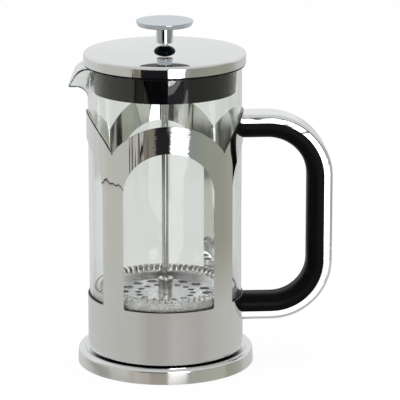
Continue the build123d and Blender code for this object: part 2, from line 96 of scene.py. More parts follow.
class Flow:
    """One output of a node, whose operators add Math nodes to the same tree."""

    def __init__(self, bench: NodeBench, socket: bpy.types.NodeSocket) -> None:
        """Keep the tree and the socket.

        Args:
            bench: the node tree that new nodes go to.
            socket: the output that this flow stands for.
        """
        self.bench = bench
        self.socket = socket

    def output(self, key: str | int) -> Flow:
        """Another output of the same node."""
        return Flow(self.bench, self.socket.node.outputs[key])

    def math(self, operation: str, *others: Flow | float) -> Flow:
        """A Math node on this flow and the others.

        Args:
            operation: the Math node's operation.
            others: its further operands.

        Returns:
            The node's value.
        """
        operands = dict(enumerate((self, *others)))
        return self.bench.node("ShaderNodeMath", {"operation": operation}, operands)

    def __add__(self, other: Flow | float) -> Flow:
        """This plus the other."""
        return self.math("ADD", other)

    def __radd__(self, other: float) -> Flow:
        """The other plus this."""
        return self + other

    def __sub__(self, other: Flow | float) -> Flow:
        """This less the other."""
        return self.math("SUBTRACT", other)

    def __rsub__(self, other: float) -> Flow:
        """The other less this."""
        return self * -1.0 + other

    def __mul__(self, other: Flow | float) -> Flow:
        """This times the other."""
        return self.math("MULTIPLY", other)

    def __rmul__(self, other: float) -> Flow:
        """The other times this."""
        return self * other

    def __truediv__(self, other: Flow | float) -> Flow:
        """This divided by the other."""
        return self.math("DIVIDE", other)

    def __gt__(self, other: Flow | float) -> Flow:
        """1 where this is greater, else 0."""
        return self.math("GREATER_THAN", other)

    def between(self, low: float, high: float) -> Flow:
        """A smooth step from 0 at low to 1 at high.

        Args:
            low: the value where the step starts.
            high: the value where it ends.

        Returns:
            The step, from 0 to 1.
        """
        settings = {"interpolation_type": "SMOOTHSTEP"}
        sockets = {"Value": self, "From Min": low, "From Max": high}
        return self.bench.node("ShaderNodeMapRange", settings, sockets)


class NodeBench:
    """A node tree that is emptied and built up again."""

    def __init__(self, owner: bpy.types.Material | bpy.types.World) -> None:
        """Empty the owner's tree.

        Args:
            owner: the material or world whose nodes are built.
        """
        owner.use_nodes = True
        self.tree = owner.node_tree
        self.tree.nodes.clear()

    def node(
        self,
        kind: str,
        settings: dict[str, Any] | None = None,
        sockets: dict[str | int, Any] | None = None,
    ) -> Flow | None:
        """Add one node.

        Args:
            kind: the node's type.
            settings: its own properties, set first; "stops" holds a ramp's places and colours.
            sockets: values or flows for its inputs.

        Returns:
            The node's first output, or None for an output node.
        """
        made = self.tree.nodes.new(kind)
        for name, value in (settings or {}).items():
            if name == "stops":
                self._set_stops(made.color_ramp, value)
            else:
                setattr(made, name, value)
        for key, value in (sockets or {}).items():
            if isinstance(value, Flow):
                self.tree.links.new(value.socket, made.inputs[key])
            else:
                made.inputs[key].default_value = value
        return Flow(self, made.outputs[0]) if made.outputs else None

    @staticmethod
    def _set_stops(ramp: bpy.types.ColorRamp, stops: list[tuple[float, Colour]]) -> None:
        """Give a ramp its stops.

        Args:
            ramp: the ramp to set.
            stops: each stop's place and colour, in order.
        """
        while len(ramp.elements) < len(stops):
            ramp.elements.new(1.0)
        for element, (place, colour) in zip(ramp.elements, stops):
            element.position = place
            element.color = opaque(colour)

    def place(self) -> Flow:
        """The piece's own coordinates."""
        return self.node("ShaderNodeTexCoord").output("Object")

    def parts_of(self, vector: Flow) -> tuple[Flow, Flow, Flow]:
        """The three components of a vector."""
        split = self.node("ShaderNodeSeparateXYZ", sockets={"Vector": vector})
        return split.output("X"), split.output("Y"), split.output("Z")

    def vector(self, x: Flow | float, y: Flow | float, z: Flow | float) -> Flow:
        """A vector of three components."""
        return self.node("ShaderNodeCombineXYZ", sockets={"X": x, "Y": y, "Z": z})

    def noise(self, vector: Flow, scale: float, detail: float = 2.0) -> Flow:
        """A Noise texture's value.

        Args:
            vector: where it is read.
            scale: waves per metre.
            detail: its octaves.

        Returns:
            Values around a half.
        """
        sockets = {"Vector": vector, "Scale": scale, "Detail": detail, "Roughness": 0.55}
        return self.node("ShaderNodeTexNoise", sockets=sockets)

    def blend(self, mask: Flow, low: Flow | Colour, high: Flow | Colour) -> Flow:
        """A colour between two by a mask.

        Args:
            mask: 0 for the first colour and 1 for the second.
            low: the first colour.
            high: the second colour.

        Returns:
            The mixed colour.
        """
        ends = [end if isinstance(end, Flow) else opaque(end) for end in (low, high)]
        sockets = {0: mask, 6: ends[0], 7: ends[1]}
        return self.node("ShaderNodeMix", {"data_type": "RGBA"}, sockets).output(2)

    def reach(self, x: Flow, y: Flow) -> Flow:
        """The distance from the Z axis."""
        return (x * x + y * y).math("SQRT")

    def facing(self) -> tuple[Flow, Flow, Flow]:
        """The three components of the surface's own normal."""
        return self.parts_of(self.node("ShaderNodeTexCoord").output("Normal"))

    def after(self, bounce: str) -> Flow:
        """1 for rays that have met a bounce of this kind, Glossy or Transmission, else 0."""
        return self.node("ShaderNodeLightPath").output(f"{bounce} Depth") > 0.5

    def bump(self, height: Flow, depth: float = 1.0) -> Flow:
        """The normal that a height bends, where a height of 1 is depth in metres."""
        sockets = {"Height": height, "Distance": depth, "Strength": 1.0}
        return self.node("ShaderNodeBump", sockets=sockets)

    def surface(self, sockets: dict[str, Any], volume: Flow | None = None) -> None:
        """Feed the material's output with a Principled shader.

        Args:
            sockets: the shader's inputs.
            volume: what fills the inside, if anything does.
        """
        feeds = {"Surface": self.node("ShaderNodeBsdfPrincipled", sockets=sockets)}
        if volume:
            feeds["Volume"] = volume
        self.node("ShaderNodeOutputMaterial", sockets=feeds)


def blank(name: str) -> tuple[bpy.types.Material, NodeBench]:
    """A new material and the bench of its empty tree."""
    material = bpy.data.materials.new(name)
    return material, NodeBench(material)


class Grain(Enum):
    """Which way the polishing lines run."""

    ROUND = "round the axis"
    UPRIGHT = "up the wall"
    ALONG = "along the strip"


@dataclass(frozen=True)
class Crease:
    """A shallow crease across the sleeve's shoulder on the lip side.

    Attributes:
        lean: how far the shoulder leans back above the crease, in radians.
        level: its mean height, in metres.
        wander: how far it wanders up and down, in metres.
        zigzag: how often it turns, per metre.
        softness: how softly the sheet folds, in metres.
        heights: the heights between which it fades in, in metres.
        across: the places along X between which it fades in, in metres.
    """

    lean: float
    level: float = millimetres(127.2)
    wander: float = millimetres(20.0)
    zigzag: float = 190.0
    softness: float = millimetres(0.6)
    heights: Span = (0.185, 0.160)
    across: Span = (-0.012, -0.022)

    def drop(self, place: Flow) -> Flow:
        """How far the sheet stands back.

        Args:
            place: the piece's own coordinates.

        Returns:
            The depth below the even sheet, in metres.
        """
        bench = place.bench
        x, y, z = bench.parts_of(place)
        wander = (bench.noise(bench.vector(x, 0.0, 0.0), self.zigzag) - 0.5) * self.wander
        above = z - self.level - wander
        folded = ((above * above + self.softness ** 2).math("SQRT") + above) * 0.5
        shoulder = z.between(*self.heights) * x.between(*self.across) * y.between(*FRONT)
        return folded * (shoulder * self.lean)


@dataclass(frozen=True)
class Strokes:
    """Cross strokes of the polishing wheel on the front arch, and the leaning edge by the handle.

    Attributes:
        streak: how far the strokes turn the normals, in radians.
        edge_lean: how far the edge leans forwards, in radians.
        rows: the rows of strokes per metre of height.
        ends: the ends of strokes per radian round the axis.
        arch_heights: the heights between which the strokes fade in, in metres.
        arch_left: the places along X between which they fade in at the left, in metres.
        arch_right: the places along X between which they fade in at the right, in metres.
        edge_heights: the heights between which the edge's lean fades in, in metres.
        edge_across: the places along X between which it fades in, in metres.
    """

    streak: float
    edge_lean: float
    rows: float = 1900.0
    ends: float = 7.0
    arch_heights: Span = (0.138, 0.149)
    arch_left: Span = (-0.017, -0.012)
    arch_right: Span = (0.030, 0.022)
    edge_heights: Span = (0.152, 0.132)
    edge_across: Span = (0.036, 0.041)

    def turn(self, place: Flow, normal: Flow) -> Flow:
        """Turn normals sideways.

        Args:
            place: the piece's own coordinates.
            normal: the normal before.

        Returns:
            The turned normal.
        """
        bench = place.bench
        x, y, z = bench.parts_of(place)
        reach = bench.reach(x, y)
        strokes = bench.vector(y.math("ARCTAN2", x) * self.ends, z * self.rows, 0.0)
        rows = bench.noise(strokes, scale=1.0, detail=3.0) - 0.5
        arch = z.between(*self.arch_heights) * x.between(*self.arch_left) * x.between(*self.arch_right)
        edge = z.between(*self.edge_heights) * x.between(*self.edge_across)
        push = y.between(*FRONT) * (rows * (arch * self.streak) - edge * self.edge_lean)
        side = bench.vector(y * push / reach * -1.0, x * push / reach, 0.0)
        turned = bench.node("ShaderNodeVectorMath", {"operation": "ADD"}, {0: normal, 1: side})
        return bench.node("ShaderNodeVectorMath", {"operation": "NORMALIZE"}, {0: turned})


@dataclass(frozen=True)
class Sheet:
    """The sides of a rolled sheet that are not its polished outside.

    Attributes:
        edge_shade: the painted shade on the sheared edges, which face neither the axis nor away from it.
        lining: the reflection colour of the faces that look at the axis.
        edge_turn: the outward shares of a normal between which the edges fade in.
        lining_turn: the outward shares of a normal between which the lining fades in.
        foot: the heights between which the sheared edges fade in, in metres.
    """

    edge_shade: Colour
    lining: Colour
    edge_turn: Span = (0.94, 0.80)
    lining_turn: Span = (-0.3, -0.6)
    foot: Span = (0.014, 0.018)

    def masks(self, place: Flow) -> tuple[Flow, Flow]:
        """Where the sheared edges and the lining are.

        Args:
            place: the piece's own coordinates.

        Returns:
            The mask of the edges and that of the lining.
        """
        bench = place.bench
        x, y, z = bench.parts_of(place)
        facing = bench.facing()
        outward = (facing[0] * x + facing[1] * y) / bench.reach(x, y)
        edges = outward.math("ABSOLUTE").between(*self.edge_turn) * z.between(*self.foot)
        return edges, outward.between(*self.lining_turn)


@dataclass(frozen=True)
class GrooveShade:
    """Painted shade, nearly black, in the front of the groove between the sleeve and its base.

    Attributes:
        radius: how far from the axis it reaches, in metres.
        top: how high it reaches, in metres.
        colour: the painted shade's colour.
        fade: half the width over which it fades, in metres.
        front: the places along Y between which it fades in, in metres.
    """

    radius: float
    top: float
    colour: Colour = (0.012, 0.012, 0.011)
    fade: float = millimetres(0.3)
    front: Span = (-0.004, -0.038)

    def mask(self, place: Flow) -> Flow:
        """Where the painted shade lies.

        Args:
            place: the piece's own coordinates.

        Returns:
            1 in the groove and 0 elsewhere.
        """
        bench = place.bench
        x, y, z = bench.parts_of(place)
        inside = bench.reach(x, y).between(self.radius + self.fade, self.radius - self.fade)
        below = z.between(self.top + self.fade, self.top - self.fade)
        return inside * y.between(*self.front) * below


@dataclass(frozen=True)
class Steel:
    """Bright steel with faint polishing lines, a little press waviness and handling marks.

    Attributes:
        name: the material's name.
        colour: its reflection colour.
        shade: the reflection colour in its duller spots.
        roughness: the gloss of a clean spot.
        smudge: the roughness that handling adds.
        grain: which way the lines run.
        line_depth: the depth of the polishing lines, in metres.
        wave_depth: the depth of the press waviness, in metres.
        crown: how strongly the top is crowned, in metres of height per square metre of reach.
        underside_shade: the colour of a painted shade on faces that look down, where there is one.
        crease: the crease in it, if there is one.
        strokes: the strokes of the polishing wheel, where they show.
        sheet: the painted shade on its sheared edges, and its lining, where it is a rolled sheet.
        groove_shade: the painted shade in its groove, if there is any.
    """

    name: str
    colour: Colour
    shade: Colour
    roughness: float
    smudge: float
    grain: Grain
    line_depth: float
    wave_depth: float
    crown: float = 0.0
    underside_shade: Colour | None = None
    crease: Crease | None = None
    strokes: Strokes | None = None
    sheet: Sheet | None = None
    groove_shade: GrooveShade | None = None

    def make(self) -> bpy.types.Material:
        """Build the material.

        Returns:
            The finished material.
        """
        material, bench = blank(self.name)
        place = bench.place()
        lines = bench.noise(self._line_vector(place), scale=1.0)
        colour, roughness = self._tones(place, lines)
        normal = bench.bump(self._height(place, lines))
        if self.strokes:
            normal = self.strokes.turn(place, normal)
        bench.surface({"Base Color": colour, "Metallic": 1.0, "Roughness": roughness, "Normal": normal})
        return material

    def _tones(self, place: Flow, lines: Flow) -> tuple[Flow, Flow]:
        """The colour and the gloss over the surface.

        Args:
            place: the piece's own coordinates.
            lines: the polishing lines.

        Returns:
            The reflection colour and the roughness.
        """
        bench = place.bench
        marks = bench.noise(place, scale=38.0, detail=4.0).between(0.42, 0.72)
        colour = bench.blend(marks, self.colour, self.shade)
        roughness = lines * (self.roughness * 0.5) + marks * self.smudge + self.roughness * 0.75
        if self.underside_shade:
            # painted shade: faces that look down are drawn darker
            downward = bench.facing()[2].between(-0.4, -0.8)
            colour = bench.blend(downward, colour, self.underside_shade)
        if self.sheet:
            edges, lining = self.sheet.masks(place)
            colour = bench.blend(lining, colour, self.sheet.lining)
            # painted shade: the sheared edges get a nearly black colour as well as more roughness
            colour = bench.blend(edges, colour, self.sheet.edge_shade)
            roughness = edges * DULLED + roughness
        if self.groove_shade:
            # painted shade: the front of the groove is drawn nearly black and made duller
            groove = self.groove_shade.mask(place)
            colour = bench.blend(groove, colour, self.groove_shade.colour)
            roughness = groove * DULLED + roughness
        return colour, roughness

    def _height(self, place: Flow, lines: Flow) -> Flow:
        """The relief of lines, press waves, crease and crown.

        Args:
            place: the piece's own coordinates.
            lines: the polishing lines.

        Returns:
            The height, in metres.
        """
        bench = place.bench
        x, y, z = bench.parts_of(place)
        stretch = 4.0 if self.grain is Grain.ALONG else 1.0
        waves = bench.noise(bench.vector(x, y, z * stretch), scale=60.0, detail=1.0)
        height = lines * self.line_depth + waves * self.wave_depth
        if self.crease:
            height = height - self.crease.drop(place)
        if self.crown:
            height = height - (x * x + y * y) * self.crown
        return height

    def _line_vector(self, place: Flow) -> Flow:
        """Coordinates that stretch noise into lines.

        Args:
            place: the piece's own coordinates.

        Returns:
            A vector that changes fast across the lines and slowly along them.
        """
        bench = place.bench
        fine, slow = 2600.0, 30.0
        x, y, z = bench.parts_of(place)
        reach = bench.reach(x, y)
        turn = y.math("ARCTAN2", x)
        if self.grain is Grain.ROUND:
            return bench.vector(reach * fine, z * fine, turn)
        if self.grain is Grain.UPRIGHT:
            return bench.vector(turn * (reach * fine), z * slow, reach * slow)
        return bench.vector(x * slow, y * fine, z * slow)


@dataclass(frozen=True)
class Moulded:
    """Black moulded plastic or rubber with a fine sanded skin.

    Attributes:
        name: the material's name.
        colour: the plastic's colour.
        worn: its colour where it is rubbed.
        roughness: the gloss of its clean skin.
        spread: how much the gloss varies.
        gloss: the strength of its reflections.
        skin_scale: grains of the skin per metre.
        skin_depth: the depth of the skin, in metres.
    """

    name: str
    colour: Colour
    worn: Colour
    roughness: float
    spread: float
    gloss: float
    skin_scale: float
    skin_depth: float

    def make(self) -> bpy.types.Material:
        """Build the material.

        Returns:
            The finished material.
        """
        material, bench = blank(self.name)
        place = bench.place()
        patches = bench.noise(place, scale=45.0, detail=3.0).between(0.4, 0.75)
        skin = bench.noise(place, self.skin_scale)
        bench.surface(
            {
                "Base Color": bench.blend(patches, self.colour, self.worn),
                "Roughness": patches * self.spread + skin * (self.spread * 0.5) + self.roughness,
                "Specular IOR Level": self.gloss,
                "Normal": bench.bump(skin, self.skin_depth),
            }
        )
        return material


@dataclass(frozen=True)
class Glass:
    """Clear borosilicate glass with the faint waviness of a blown wall.

    Attributes:
        name: the material's name.
        colour: the tint of its wall.
        index: its index of refraction.
        gloss: the strength of its reflections.
        film: the roughness of the thin film on it.
        wave_depth: the depth of the waviness, in metres.
        depth_colour: the colour that a long way through the glass takes on.
        density: how fast it takes that colour on, per metre.
    """

    name: str
    colour: Colour
    index: float
    gloss: float
    film: float
    wave_depth: float
    depth_colour: Colour
    density: float

    def make(self) -> bpy.types.Material:
        """Build the material.

        Returns:
            The finished material.
        """
        material, bench = blank(self.name)
        place = bench.place()
        x, y, z = bench.parts_of(place)
        drawn = 0.35
        waves = bench.noise(bench.vector(x, y, z * drawn), scale=42.0, detail=1.0)
        film = bench.noise(place, scale=70.0, detail=3.0).between(0.5, 0.8)
        depth = {"Color": opaque(self.depth_colour), "Density": self.density}
        inside = bench.node("ShaderNodeVolumeAbsorption", sockets=depth)
        bench.surface(
            {
                "Base Color": opaque(self.colour),
                "Roughness": film * self.film,
                "IOR": self.index,
                "Specular IOR Level": self.gloss,
                "Transmission Weight": 1.0,
                "Normal": bench.bump(waves, self.wave_depth),
            },
            inside,
        )
        return material


@dataclass(frozen=True)
class WovenWire:
    """A plain-woven wire screen whose two sets of wires pass over and under each other.

    Attributes:
        name: the material's name.
        colour: the wires' reflection colour.
        dull: that colour in the duller grains.
        shaded_tone: that colour where shade is painted, on the upper side of the floor and at the rim's
            foot.
        shade_rise: how far the painted shade reaches up the rim, in metres.
        pitch: the distance from wire to wire, in metres.
        wire: the share of the pitch that a wire takes.
        floor: the height of the flat part of the screen, in metres.
        crease: the depth of the cloth's small creases, in metres.
        metallic: how metallic the wires look.
        roughness: the gloss low between the wires.
        polish: how much glossier the wires' crowns are.
    """

    name: str
    colour: Colour
    dull: Colour
    shaded_tone: Colour
    shade_rise: float
    pitch: float
    wire: float
    floor: float
    crease: float
    metallic: float
    roughness: float
    polish: float

    def make(self) -> bpy.types.Material:
        """Build the material.

        Returns:
            The finished material.
        """
        material, bench = blank(self.name)
        place = bench.place()
        x, y, z = bench.parts_of(place)
        reach = bench.reach(x, y).math("MAXIMUM", millimetres(0.01))
        unrolled = (reach + (z - self.floor).math("MAXIMUM", 0.0)) / reach
        across = x * unrolled / self.pitch
        along = y * unrolled / self.pitch
        warp = self._wire(across)
        weft = self._wire(along)
        over = ((across * math.pi).math("SINE") * (along * math.pi).math("SINE")) * 0.5 + 0.5
        height = (warp * over).math("MAXIMUM", weft * (1 - over))
        solid = warp.math("MAXIMUM", weft) > 1.0 - self.wire
        creases = bench.noise(place, scale=800.0)
        relief = height * (self.pitch * 0.3) + creases * self.crease
        grains = bench.noise(place, scale=1050.0, detail=1.0).between(0.44, 0.58)
        tone = bench.blend(grains, self.dull, self.colour)
        bench.surface(
            {
                # painted shade on the floor's upper side and at the rim's foot
                "Base Color": bench.blend(self._painted_shade(z), tone, self.shaded_tone),
                "Metallic": self.metallic,
                "Roughness": self.roughness - height * self.polish,
                "Alpha": solid,
                "Normal": bench.bump(relief),
            }
        )
        return material

    def _painted_shade(self, z: Flow) -> Flow:
        """Where shade is painted on the cloth, under the plate.

        Args:
            z: the height of each spot.

        Returns:
            1 on the upper side of the floor and at the rim's foot, else 0.
        """
        shade_top = self.floor + self.shade_rise
        upward = z.bench.facing()[2].between(0.2, 0.6)
        flat = upward * z.between(shade_top + self.shade_rise, shade_top)
        return flat.math("MAXIMUM", z.between(shade_top, self.floor))

    @staticmethod
    def _wire(steps: Flow) -> Flow:
        """A wire's section, 1 at its middle and 0 midway to the next.

        Args:
            steps: the distance across the wires, in pitches.

        Returns:
            The section's height.
        """
        return 1.0 - ((steps.math("FRACT") - 0.5).math("ABSOLUTE") * 2.0)


BRIGHT = Steel(
    name="bright_steel",
    colour=(0.80, 0.80, 0.80),
    shade=(0.78, 0.78, 0.775),
    roughness=0.035,
    smudge=0.02,
    grain=Grain.ROUND,
    line_depth=4e-8,
    wave_depth=4e-6,
)
POLISHED = replace(BRIGHT, name="polished_steel", crown=0.68)
BASE = replace(
    BRIGHT,
    name="base_steel",
    roughness=0.13,
    # painted shade in the groove round the sleeve's foot
    groove_shade=GrooveShade(radius=millimetres(51.3), top=millimetres(10.3)),
)
SLEEVE = replace(
    BRIGHT,
    name="sleeve_steel",
    roughness=0.03,
    grain=Grain.UPRIGHT,
    wave_depth=6e-6,
    crease=Crease(lean=0.03),
    strokes=Strokes(streak=0.2, edge_lean=0.06),
    # the sheet's sheared edges carry a painted shade
    sheet=Sheet(edge_shade=(0.06, 0.058, 0.055), lining=(0.98, 0.98, 0.96)),
    # painted shade in the groove where the sleeve meets its base
    groove_shade=GrooveShade(radius=millimetres(51.0), top=millimetres(10.8)),
)
KNOB = replace(
    BRIGHT,
    name="knob_steel",
    colour=(0.58, 0.62, 0.66),
    shade=(0.56, 0.60, 0.64),
    roughness=0.05,
    # painted shade on the knob's down-facing faces
    underside_shade=(0.09, 0.09, 0.095),
)
HANDLE = replace(
    BRIGHT,
    name="handle_steel",
    colour=(0.86, 0.865, 0.87),
    shade=(0.84, 0.845, 0.85),
    roughness=0.04,
    grain=Grain.ALONG,
    wave_depth=1.1e-4,
)
PLAIN = Steel(
    name="plain_steel",
    colour=(0.70, 0.69, 0.67),
    shade=(0.62, 0.61, 0.59),
    roughness=0.22,
    smudge=0.08,
    grain=Grain.ROUND,
    line_depth=3e-7,
    wave_depth=2e-6,
)
ROD = Steel(
    name="rod_steel",
    colour=(0.76, 0.755, 0.735),
    shade=(0.70, 0.695, 0.675),
    roughness=0.06,
    smudge=0.04,
    grain=Grain.UPRIGHT,
    line_depth=8e-8,
    wave_depth=1e-6,
)
FILTER = Steel(
    name="filter_steel",
    colour=(0.70, 0.70, 0.695),
    shade=(0.60, 0.60, 0.59),
    roughness=0.26,
    smudge=0.06,
    grain=Grain.ROUND,
    line_depth=6e-8,
    wave_depth=6e-5,
)
SPRING = Steel(
    name="spring_steel",
    colour=(0.88, 0.875, 0.865),
    shade=(0.80, 0.795, 0.785),
    roughness=0.08,
    smudge=0.05,
    grain=Grain.ROUND,
    line_depth=1e-7,
    wave_depth=1e-6,
)
CLEAR_GLASS = Glass(
    name="beaker_glass",
    colour=(0.985, 0.992, 0.988),
    index=1.47,
    gloss=0.42,
    film=0.015,
    wave_depth=4e-6,
    depth_colour=(0.30, 0.36, 0.33),
    density=16.0,
)
LID_BLACK = Moulded(
    name="lid_black",
    colour=(0.0015, 0.002, 0.004),
    worn=(0.003, 0.0035, 0.006),
    roughness=0.10,
    spread=0.05,
    gloss=0.06,
    skin_scale=900.0,
    skin_depth=1e-6,
)
GRIP_BLACK = Moulded(
    name="grip_black",
    colour=(0.0016, 0.0016, 0.0018),
    worn=(0.0035, 0.0035, 0.0036),
    roughness=0.36,
    spread=0.1,
    gloss=0.07,
    skin_scale=1400.0,
    skin_depth=1e-5,
)
SOFT_BLACK = Moulded(
    name="soft_black",
    colour=(0.018, 0.018, 0.018),
    worn=(0.03, 0.03, 0.029),
    roughness=0.6,
    spread=0.15,
    gloss=0.3,
    skin_scale=1100.0,
    skin_depth=2e-5,
)


def dress(frame: dict[str, Any], finishes: dict[str, bpy.types.Material]) -> None:
    """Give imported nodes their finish.

    Args:
        finishes: the material of each node.
    """
    for node, material in finishes.items():
        mesh = frame["nodes"][node].data
        mesh.materials.clear()
        mesh.materials.append(material)
        LOG.info("dressed %s with %s", node, material.name)


def spun(profile: list[tuple[float, float]], steps: int) -> bmesh.types.BMesh:
    """Turn a profile about the Z axis.

    Args:
        profile: (radius, height) points, in order.
        steps: the steps of a full turn.

    Returns:
        The surface of revolution, with its faces outwards.
    """
    mesh = bmesh.new()
    points = [mesh.verts.new((radius, 0.0, height)) for radius, height in profile]
    edges = [mesh.edges.new(pair) for pair in zip(points, points[1:])]
    bmesh.ops.spin(
        mesh,
        geom=points + edges,
        cent=(0.0, 0.0, 0.0),
        axis=(0.0, 0.0, 1.0),
        angle=2 * math.pi,
        steps=steps,
        use_merge=True,
        use_duplicate=False,
    )
    bmesh.ops.remove_doubles(mesh, verts=mesh.verts, dist=1e-7)
    bmesh.ops.recalc_face_normals(mesh, faces=mesh.faces)
    return mesh


def linked(name: str, data: bpy.types.ID) -> bpy.types.Object:
    """Make an object for some data.

    Args:
        name: the object's name.
        data: its mesh, curve, lamp or camera data.

    Returns:
        The new object, linked to the scene.
    """
    made = bpy.data.objects.new(name, data)
    bpy.context.scene.collection.objects.link(made)
    return made


def cast(mesh: bmesh.types.BMesh, name: str, material: bpy.types.Material) -> bpy.types.Mesh:
    """Turn a finished bmesh into mesh data.

    Args:
        mesh: the shape, in the model's frame, which is freed.
        name: the data's name.
        material: its finish.

    Returns:
        The mesh data.
    """
    data = bpy.data.meshes.new(name)
    mesh.to_mesh(data)
    mesh.free()
    data.materials.append(material)
    return data


def evaluated(source: bpy.types.Object) -> bpy.types.Mesh:
    """A copy of the mesh that an object has after its modifiers or its bevel.

    Args:
        source: the object, linked to the scene.

    Returns:
        The mesh data, which belongs to no object yet.
    """
    bpy.context.view_layer.update()
    graph = bpy.context.evaluated_depsgraph_get()
    return bpy.data.meshes.new_from_object(source.evaluated_get(graph))


def settle(
    mesh: bmesh.types.BMesh,
    name: str,
    material: bpy.types.Material,
    sharp_angle: float,
) -> bpy.types.Object:
    """Make a smooth-shaded object of a finished bmesh.

    Args:
        mesh: the shape, in the model's frame.
        name: the piece's name.
        material: its finish.
        sharp_angle: edges that turn more than this, in degrees, stay sharp.

    Returns:
        The new object, linked to the scene.
    """
    data = cast(mesh, name, material)
    data.shade_smooth()
    data.set_sharp_from_angle(angle=math.radians(sharp_angle))
    return linked(name, data)


def seat(piece: bpy.types.Object, body: str, node: str) -> None:
    """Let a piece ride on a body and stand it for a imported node.

    Args:
        piece: the piece, in place.
        body: the body that it moves with.
        node: the node that it replaces.
    """
    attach(piece, body)
    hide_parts(node)
    LOG.info("built %s on %s", piece.name, body)


@dataclass
class SleeveFrame:
    """The steel sleeve on its base, with the handle.

    Attributes:
        head_height: the height of a screw's head, in metres.
        head_round: the rounding of its rim, in metres.
        shank_radius: the radius of its shank, in metres.
        shank_length: the length of its shank, in metres.
        cross_width: the width of its cross slot, in metres.
        cross_depth: the depth of that slot, in metres.
        cross_reach: the slot's length, as a share of the head's radius.
        sharp_angle: edges that turn more than this, in degrees, stay sharp.
    """

    frame: dict[str, Any]
    head_height: float = millimetres(1.6)
    head_round: float = millimetres(0.6)
    shank_radius: float = millimetres(2.0)
    shank_length: float = millimetres(5.35)
    cross_width: float = millimetres(0.9)
    cross_depth: float = millimetres(0.9)
    cross_reach: float = 1.2
    sharp_angle: float = 30.0

    def build(self) -> None:
        """Dress the nodes of the body and cut its screws."""
        self._dress()
        self._cross_screws()

    def _cross_screws(self) -> None:
        """Make the two handle screws, with a rounded head and a cross slot in each."""
        low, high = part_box("handle_screws")
        centre = Vector(((low.x + high.x) / 2, 0.0, 0.0))
        radius = (high.x - low.x) / 2
        heads = (low.z, high.z - self.shank_length - self.head_height)
        lugs = (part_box("lower_lug")[1].z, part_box("upper_lug")[1].z)
        bar = Matrix.Diagonal((radius * self.cross_reach, self.cross_width, self.cross_depth * 2.0, 1.0))
        solid = bmesh.new()
        slots = bmesh.new()
        for head, lug_top in zip(heads, lugs):
            seat_level = head + self.head_height
            self._round_bar(solid, centre, radius, head, seat_level)
            self._round_bar(solid, centre, self.shank_radius, seat_level, lug_top)
            place = Matrix.Translation(centre + Vector((0.0, 0.0, head)))
            for turn in (45.0, 135.0):
                cross = place @ Matrix.Rotation(math.radians(turn), 4, "Z")
                bmesh.ops.create_cube(slots, size=1.0, matrix=cross @ bar)
        rims = [edge for edge in solid.edges if self._on_rim(edge, centre, radius, heads)]
        bmesh.ops.bevel(
            solid,
            geom=rims,
            offset=self.head_round,
            segments=4,
            profile=0.5,
            affect="EDGES",
            material=-1,
        )
        plain = PLAIN.make()
        cutter = settle(slots, "cross_slots", plain, self.sharp_angle)
        screws = settle(solid, "cross_screws", plain, self.sharp_angle)
        cut = screws.modifiers.new("cross", "BOOLEAN")
        cut.operation = "DIFFERENCE"
        cut.object = cutter
        data = evaluated(screws)
        screws.modifiers.clear()
        screws.data = data
        bpy.data.objects.remove(cutter)
        seat(screws, "frame", "handle_screws")

    @staticmethod
    def _on_rim(edge: bmesh.types.BMEdge, centre: Vector, radius: float, heads: Span) -> bool:
        """Tell whether an edge is part of the outer rim of a head.

        Args:
            edge: the edge to look at.
            centre: the axis of the screws.
            radius: the radius of their heads.
            heads: the heights of the heads' outer faces.

        Returns:
            True where both ends lie on that rim.
        """
        touch = 1e-6
        return all(
            abs((vertex.co - centre).to_2d().length - radius) < touch
            and min(abs(vertex.co.z - head) for head in heads) < touch
            for vertex in edge.verts
        )

    @staticmethod
    def _round_bar(
        mesh: bmesh.types.BMesh, centre: Vector, radius: float, bottom: float, top: float
    ) -> None:
        """Add an upright round bar.

        Args:
            mesh: the mesh that it joins.
            centre: its axis.
            radius: its radius.
            bottom: the height of its lower end.
            top: the height of its upper end.
        """
        place = Matrix.Translation(centre + Vector((0.0, 0.0, (bottom + top) / 2)))
        bmesh.ops.create_cone(
            mesh,
            cap_ends=True,
            segments=32,
            radius1=radius,
            radius2=radius,
            depth=top - bottom,
            matrix=place,
        )

    def _dress(self) -> None:
        """Give the body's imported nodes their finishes."""
        soft = SOFT_BLACK.make()
        plain = PLAIN.make()
        dress(
            self.frame,
            {
                "frame_sleeve": SLEEVE.make(),
                "base_dish": BASE.make(),
                "base_pad": soft,
                "beaker_seat": soft,
                "upper_lug": plain,
                "lower_lug": plain,
                "handle_shell": HANDLE.make(),
                "handle_grip": GRIP_BLACK.make(),
            },
        )


@dataclass
class Beaker:
    """The glass beaker.

    Attributes:
    """

    frame: dict[str, Any]

    def build(self) -> None:
        """Dress the glass."""
        dress(self.frame, {"glass_beaker": CLEAR_GLASS.make()})


@dataclass
class Lid:
    """The steel lid, its black insert and the rod's bush.

    Attributes:
    """

    frame: dict[str, Any]

    def build(self) -> None:
        """Dress the nodes of the body."""
        black = LID_BLACK.make()
        dress(
            self.frame,
            {
                "lid_cover": POLISHED.make(),
                "lid_insert": black,
                "rod_bush": black,
                "bush_nut": PLAIN.make(),
            },
        )


